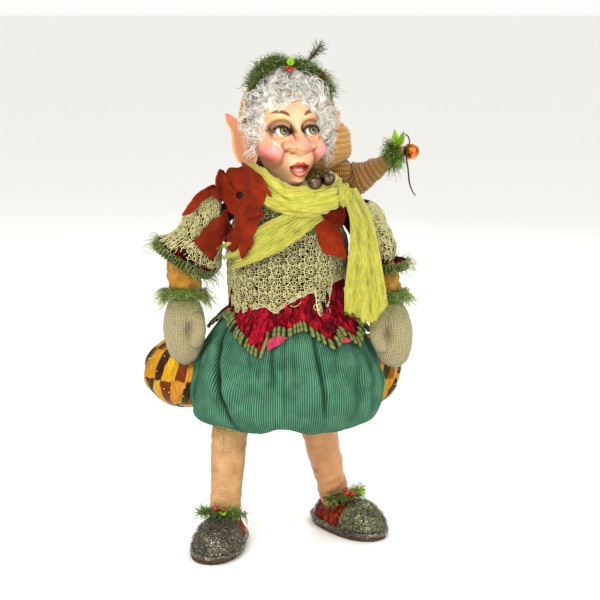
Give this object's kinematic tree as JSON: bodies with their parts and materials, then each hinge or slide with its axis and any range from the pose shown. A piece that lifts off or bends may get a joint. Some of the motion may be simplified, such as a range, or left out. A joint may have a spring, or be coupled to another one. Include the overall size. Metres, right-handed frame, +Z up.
{
  "type": "elf doll",
  "caption": "Standing dressed elf doll with a turning head, stocking hat, posable arms and legs, layered clothes, mittens and flat-soled shoes, used as a free-standing display figure.",
  "frame": {"origin": "on the floor, under the middle of the doll's box", "axes": "+Z up along the doll, the doll faces -Y, its right hand is at -X"},
  "size_m": [0.3322, 0.1688, 0.5897],
  "materials": {
    "resin_skin": "painted resin with a satin varnish",
    "stocking": "satin and gathered mesh stocking",
    "velvet": "crushed velvet",
    "satin_pink": "satin",
    "olive_trim": "ruched trim",
    "lace": "crocheted cotton lace",
    "suede": "suede",
    "gauze": "crinkled gauze",
    "corduroy": "fine corduroy",
    "striped_satin": "striped satin with beads",
    "mustard": "woven cloth",
    "moss": "eyelash yarn and pine sprigs",
    "knit": "fine wool knit",
    "hat_knit": "ribbed knit",
    "tail_knit": "ribbed knit",
    "mohair": "curled mohair",
    "glitter": "glittered cloth",
    "red_velvet": "velvet",
    "copper": "polished copper plate",
    "bronze": "dark bronze plate",
    "eye": "glossy acrylic",
    "twig": "bark",
    "wire": "soft armature wire",
    "muslin": "stuffed muslin"
  },
  "bodies": {
    "body": {"torso_body": "muslin", "armature_wire": "wire", "velvet_tunic": "velvet", "tunic_hem_trim": "olive_trim", "lace_shawl": "lace", "bloomers": "corduroy", "side_drape_right": "striped_satin", "side_drape_left": "striped_satin", "satin_petal_right": "satin_pink", "satin_petal_left": "satin_pink", "leather_shoulder_leaf": "suede", "leather_hanging_leaf": "suede", "leather_chest_panel": "suede", "scarf_loop": "gauze", "scarf_knot": "gauze", "scarf_short_tail": "gauze", "scarf_long_tail": "gauze", "neck_bell_right": "bronze", "neck_bell_left": "bronze"},
    "neck": {"neck": "resin_skin"},
    "head": {"head": "resin_skin", "ear_right": "resin_skin", "ear_left": "resin_skin", "eye_right": "eye", "eye_left": "eye", "hair": "mohair", "hat": "hat_knit", "hat_garland": "moss", "hat_pine_twig": "twig", "hat_leaf": "moss"},
    "hat_tail": {"hat_tail": "tail_knit", "tail_moss": "moss", "tip_vine": "twig", "tip_bell": "copper", "tip_bell_pellet": "wire"},
    "arm_wire_right": {"arm_wire_right": "wire"},
    "upper_arm_right": {"upper_arm_right": "muslin", "puff_sleeve_right": "lace", "sleeve_trim_right": "olive_trim", "leather_side_leaf": "suede"},
    "forearm_right": {"forearm_right": "mustard", "cuff_moss_right": "moss", "mitten_right": "knit"},
    "thigh_right": {"thigh_right": "stocking"},
    "shin_right": {"shin_right": "stocking", "shoe_upper_right": "glitter", "shoe_sole_right": "red_velvet", "shoe_sprig_right": "moss"},
    "arm_wire_left": {"arm_wire_left": "wire"},
    "upper_arm_left": {"upper_arm_left": "muslin", "puff_sleeve_left": "lace", "sleeve_trim_left": "olive_trim"},
    "forearm_left": {"forearm_left": "mustard", "cuff_moss_left": "moss", "mitten_left": "knit"},
    "thigh_left": {"thigh_left": "stocking"},
    "shin_left": {"shin_left": "stocking", "shoe_upper_left": "glitter", "shoe_sole_left": "red_velvet", "shoe_sprig_left": "moss"}
  },
  "joints": [
    {"name": "neck_turn", "type": "hinge", "parent": "body", "child": "neck", "pos_m": [0.01043, -0.00035, 0.451], "axis": [0, 0, 1], "range_deg": [-8, 25]},
    {"name": "head_nod", "type": "hinge", "parent": "neck", "child": "head", "pos_m": [0.01043, -0.00035, 0.451], "axis": [0.9511, 0.309, 0], "range_deg": [-8, 12]},
    {"name": "hat_tail_bend", "type": "hinge", "parent": "head", "child": "hat_tail", "pos_m": [0.07043, 0.03765, 0.447], "axis": [0, -1, 0], "range_deg": [-5, 20]},
    {"name": "arm_swing_right", "type": "hinge", "parent": "body", "child": "arm_wire_right", "pos_m": [-0.05957, 0.00065, 0.405], "axis": [-1, 0, 0], "range_deg": [-2, 30]},
    {"name": "arm_raise_right", "type": "hinge", "parent": "arm_wire_right", "child": "upper_arm_right", "pos_m": [-0.05957, 0.00065, 0.405], "axis": [0, 1, 0], "range_deg": [0, 23]},
    {"name": "elbow_bend_right", "type": "hinge", "parent": "upper_arm_right", "child": "forearm_right", "pos_m": [-0.10957, -0.00335, 0.35], "axis": [-1, 0, 0], "range_deg": [0, 30]},
    {"name": "hip_swing_right", "type": "hinge", "parent": "body", "child": "thigh_right", "pos_m": [-0.04757, 0.00165, 0.182], "axis": [-1, 0, 0], "range_deg": [-15, 15]},
    {"name": "knee_bend_right", "type": "hinge", "parent": "thigh_right", "child": "shin_right", "pos_m": [-0.05957, -0.00235, 0.134], "axis": [1, 0, 0], "range_deg": [0, 35]},
    {"name": "arm_swing_left", "type": "hinge", "parent": "body", "child": "arm_wire_left", "pos_m": [0.08143, 0.00065, 0.402], "axis": [-1, 0, 0], "range_deg": [-2, 6]},
    {"name": "arm_raise_left", "type": "hinge", "parent": "arm_wire_left", "child": "upper_arm_left", "pos_m": [0.08143, 0.00065, 0.402], "axis": [0, -1, 0], "range_deg": [0, 15]},
    {"name": "elbow_bend_left", "type": "hinge", "parent": "upper_arm_left", "child": "forearm_left", "pos_m": [0.11843, -0.00235, 0.34], "axis": [0, -1, 0], "range_deg": [0, 30]},
    {"name": "hip_swing_left", "type": "hinge", "parent": "body", "child": "thigh_left", "pos_m": [0.04943, 0.01265, 0.182], "axis": [-1, 0, 0], "range_deg": [-15, 15]},
    {"name": "knee_bend_left", "type": "hinge", "parent": "thigh_left", "child": "shin_left", "pos_m": [0.04843, 0.02365, 0.134], "axis": [1, 0, 0], "range_deg": [0, 35]}
  ]
}
